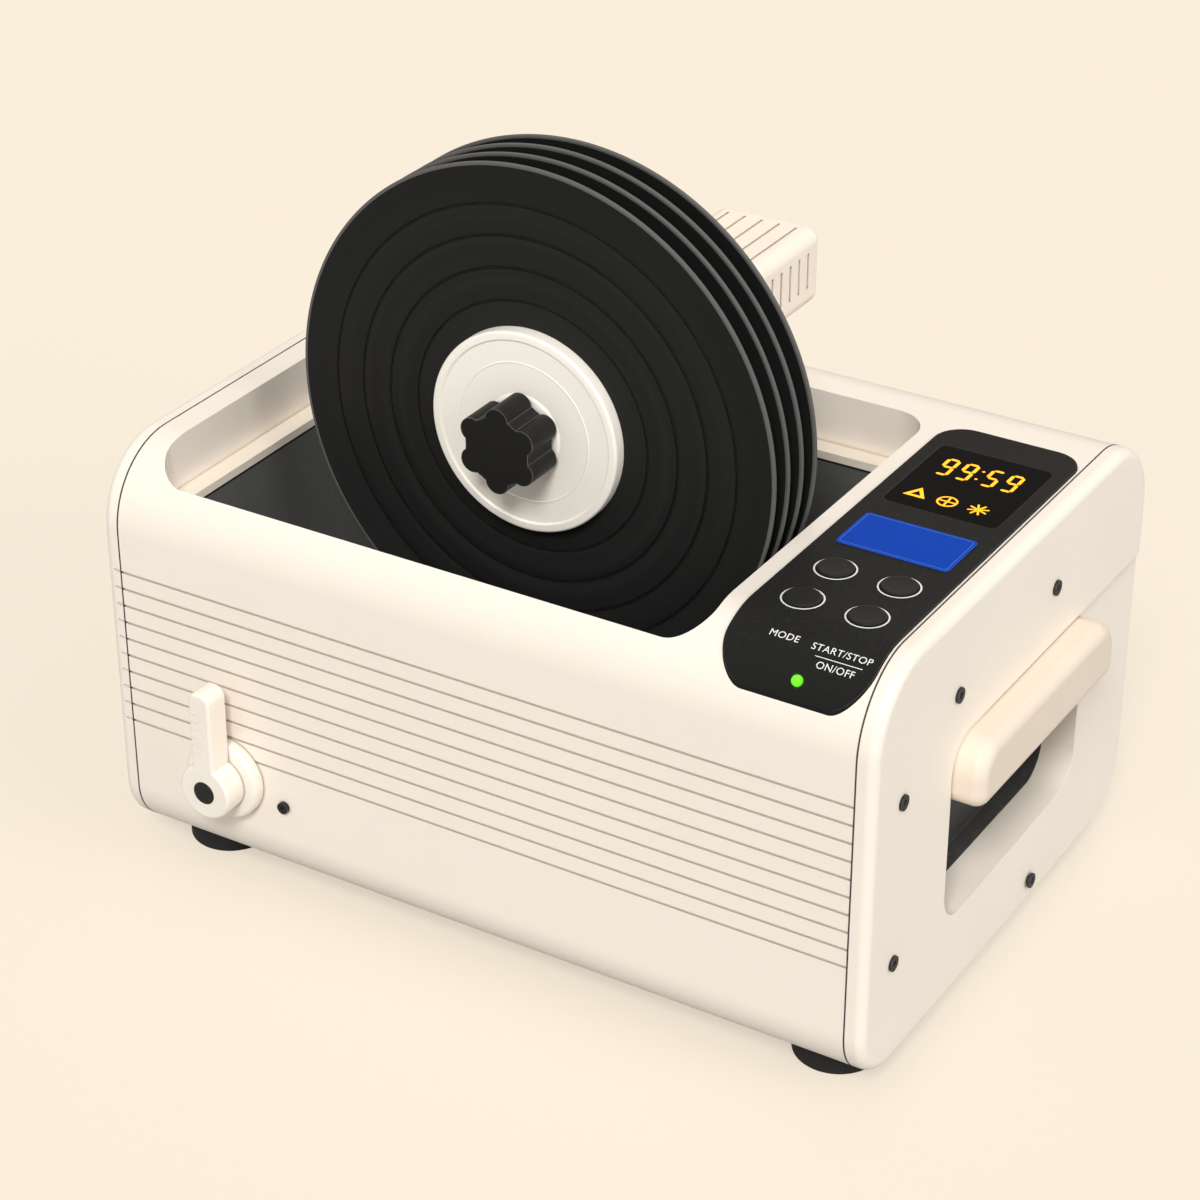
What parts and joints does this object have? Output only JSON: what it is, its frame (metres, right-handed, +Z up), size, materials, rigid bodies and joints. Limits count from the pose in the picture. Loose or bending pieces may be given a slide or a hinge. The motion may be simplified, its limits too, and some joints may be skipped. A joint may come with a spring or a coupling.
{
  "type": "record cleaning machine",
  "caption": "Ultrasonic record cleaning machine: rounded housing with a bath, a motor spindle holding records, a drain lever, end grips and a sloping control panel.",
  "frame": {"origin": "on the floor plane under the middle of the housing, at the centre of the four feet", "axes": "+X to the right along the housing's length, +Y to the rear, +Z up"},
  "size_m": [0.524, 0.3808, 0.4468],
  "materials": {
    "cream_shell": "satin cream paint",
    "cream_cap": "satin moulded cream",
    "cream_grip": "satin moulded cream",
    "cream_bezel": "satin moulded cream",
    "cream_lever": "semi gloss cream",
    "cream_motor_box": "satin moulded cream",
    "cream_guard": "satin moulded cream",
    "inner_steel": "plain plated",
    "bright_steel": "polished",
    "black_screws": "black oxide",
    "dark_plastic": "fine texture",
    "black_rubber": "matte",
    "dark_tank": "dark satin",
    "aluminium_parts": "plain",
    "piezo_ceramic": "matte",
    "heater_silicone": "matte",
    "brass_fittings": "plain",
    "black_gloss": "gloss",
    "black_panel": "satin",
    "display_glass": "gloss",
    "blue_label": "satin",
    "black_button": "satin",
    "circuit_board": "lacquered",
    "capacitor_sleeve": "gloss",
    "copper_winding": "lacquered",
    "record_vinyl": "grooved",
    "spacer_plastic": "fine texture",
    "black_knob": "satin",
    "green_lamp": "clear lens"
  },
  "bodies": {
    "housing": {"housing_shell": "cream_shell", "chassis_plate": "inner_steel", "left_end_frame": "inner_steel", "right_end_frame": "inner_steel", "left_end_cap": "cream_cap", "right_end_cap": "cream_cap", "m5_screws": "black_screws", "m4_screws": "black_screws", "left_hand_pocket": "dark_plastic", "right_hand_pocket": "dark_plastic", "left_grip": "cream_grip", "right_grip": "cream_grip", "rubber_feet": "black_rubber", "tank": "dark_tank", "tank_bezel": "cream_bezel", "tank_gasket": "black_rubber", "transducer_horns": "aluminium_parts", "piezo_rings": "piezo_ceramic", "transducer_backs": "inner_steel", "heater_pad": "heater_silicone", "drain_elbow": "brass_fittings", "drain_hoses": "black_rubber", "drain_spout": "brass_fittings", "valve_bracket": "inner_steel", "valve_body": "brass_fittings", "valve_boss": "cream_lever", "control_panel": "black_panel", "display_window": "display_glass", "label_plate": "blue_label", "power_lamp": "green_lamp", "display_board": "circuit_board", "display_module": "dark_plastic", "button_switches": "dark_plastic", "board_posts": "brass_fittings", "generator_board": "circuit_board", "heatsink": "aluminium_parts", "capacitors": "capacitor_sleeve", "transformer": "copper_winding", "power_inlet": "dark_plastic", "fan_frame": "dark_plastic"},
    "drain_lever": {"valve_lever": "cream_lever", "lever_plug": "black_gloss", "valve_ball": "bright_steel"},
    "upper_left_key": {"upper_left_button": "black_button"},
    "upper_right_key": {"upper_right_button": "black_button"},
    "lower_left_key": {"lower_left_button": "black_button"},
    "lower_right_key": {"lower_right_button": "black_button"},
    "fan": {"fan_rotor": "dark_plastic"},
    "carrier": {"motor_bracket": "bright_steel", "motor_box": "cream_motor_box", "motor_box_cover": "cream_motor_box", "gear_motor": "bright_steel", "spindle_bushing": "brass_fittings"},
    "spindle": {"spindle_rod": "bright_steel", "records": "record_vinyl", "record_spacers": "spacer_plastic", "rear_label_guard": "cream_guard", "front_label_guard": "cream_guard"},
    "clamp": {"clamp_washer": "bright_steel"},
    "knob": {"clamp_knob": "black_knob"}
  },
  "joints": [
    {"name": "drain_lever_turn", "type": "hinge", "parent": "housing", "child": "drain_lever", "pos_m": [-0.165, -0.17, 0.08], "axis": [0, 1, 0], "range_deg": [0, 90]},
    {"name": "upper_left_press", "type": "slide", "parent": "housing", "child": "upper_left_key", "axis": [0, 0, -1], "range_m": [0, 0.0012], "stiffness_N_per_m": 600},
    {"name": "upper_right_press", "type": "slide", "parent": "housing", "child": "upper_right_key", "axis": [0, 0, -1], "range_m": [0, 0.0012], "stiffness_N_per_m": 600},
    {"name": "lower_left_press", "type": "slide", "parent": "housing", "child": "lower_left_key", "axis": [0, 0, -1], "range_m": [0, 0.0012], "stiffness_N_per_m": 600},
    {"name": "lower_right_press", "type": "slide", "parent": "housing", "child": "lower_right_key", "axis": [0, 0, -1], "range_m": [0, 0.0012], "stiffness_N_per_m": 600},
    {"name": "fan_spin", "type": "hinge", "parent": "housing", "child": "fan", "pos_m": [0.185, 0.157, 0.15], "axis": [0, 1, 0], "continuous": true},
    {"name": "carrier_lift", "type": "slide", "parent": "housing", "child": "carrier", "axis": [0, 0, 1], "range_m": [0, 0.2]},
    {"name": "spindle_spin", "type": "hinge", "parent": "carrier", "child": "spindle", "pos_m": [-0.0213, 0, 0.296], "axis": [0, -1, 0], "continuous": true},
    {"name": "clamp_travel", "type": "slide", "parent": "spindle", "child": "clamp", "axis": [0, -1, 0], "range_m": [0, 0.0025]},
    {"name": "knob_turn", "type": "hinge", "parent": "clamp", "child": "knob", "pos_m": [-0.0213, 0, 0.296], "axis": [0, -1, 0], "range_deg": [0, 720]}
  ],
  "couplings": [
    {"joint": "clamp_travel", "follows": "knob_turn", "m_per_rad": 0.00019894}
  ]
}
